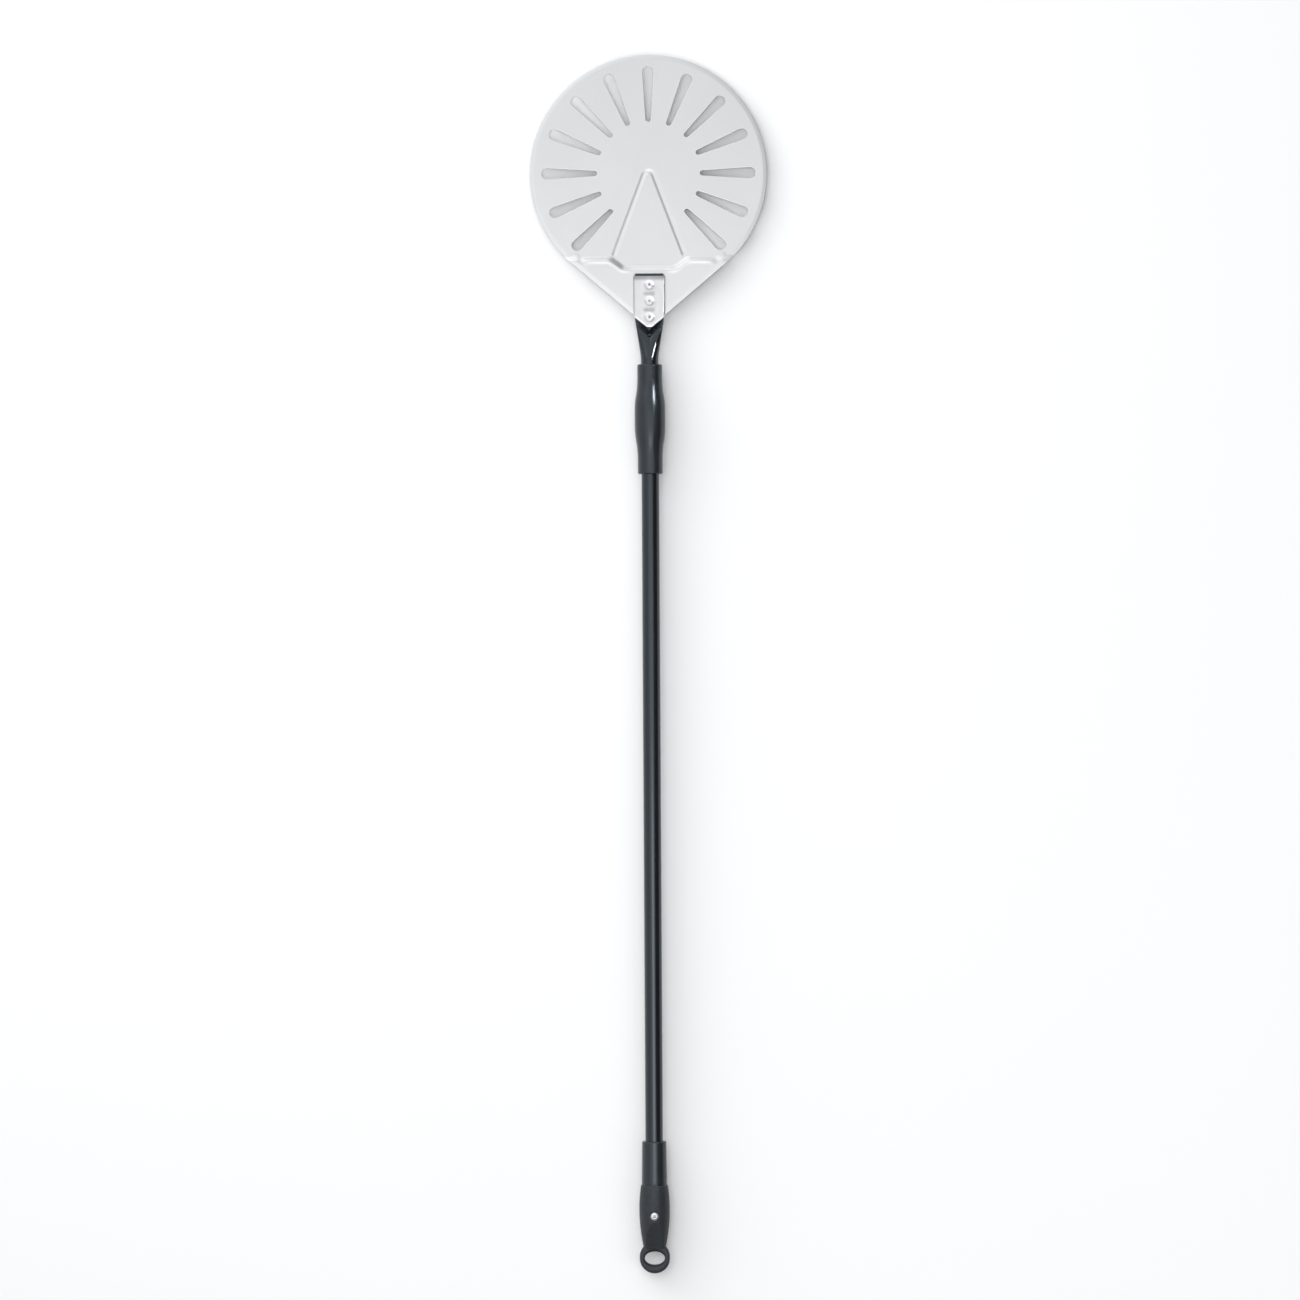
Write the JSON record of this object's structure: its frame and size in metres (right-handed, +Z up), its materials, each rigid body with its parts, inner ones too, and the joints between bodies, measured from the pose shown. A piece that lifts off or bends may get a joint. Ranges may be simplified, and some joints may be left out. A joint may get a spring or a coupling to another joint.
{
  "type": "pizza peel",
  "caption": "Long-handled turning peel: round slotted metal blade riveted to a black tube, with a sliding barrel grip and an end grip that has a hanging ring.",
  "frame": {"origin": "on the floor under the middle of the peel's length, with the peel lying flat", "axes": "+Y along the handle towards the blade, +Z up off the floor, +X across the blade"},
  "size_m": [0.23, 1.18, 0.0304],
  "materials": {
    "blade_aluminium": "satin anodised",
    "cover_aluminium": "satin anodised",
    "black_tube": "gloss black anodised",
    "grip_plastic": "semi-matt black",
    "liner_plastic": "smooth black",
    "rivet_aluminium": "bright",
    "mandrel_steel": "broken off, grey"
  },
  "bodies": {
    "root": {"blade": "blade_aluminium", "neck_cover": "cover_aluminium", "handle_tube": "black_tube", "end_grip": "grip_plastic", "end_rivet": "rivet_aluminium", "end_rivet_mandrel": "mandrel_steel", "neck_rivet_front": "rivet_aluminium", "neck_rivet_front_mandrel": "mandrel_steel", "neck_rivet_middle": "rivet_aluminium", "neck_rivet_middle_mandrel": "mandrel_steel", "neck_rivet_rear": "rivet_aluminium", "neck_rivet_rear_mandrel": "mandrel_steel"},
    "grip_glide": {"grip_liner": "liner_plastic", "grip_retaining_ring": "liner_plastic"},
    "grip_sleeve": {"sliding_grip": "grip_plastic"}
  },
  "joints": [
    {"name": "grip_slide", "type": "slide", "parent": "root", "child": "grip_glide", "axis": [0, -1, 0], "range_m": [0, 0.645]},
    {"name": "grip_spin", "type": "hinge", "parent": "grip_glide", "child": "grip_sleeve", "pos_m": [0, 0.2364, 0.0149], "axis": [0, 1, 0], "continuous": true}
  ]
}
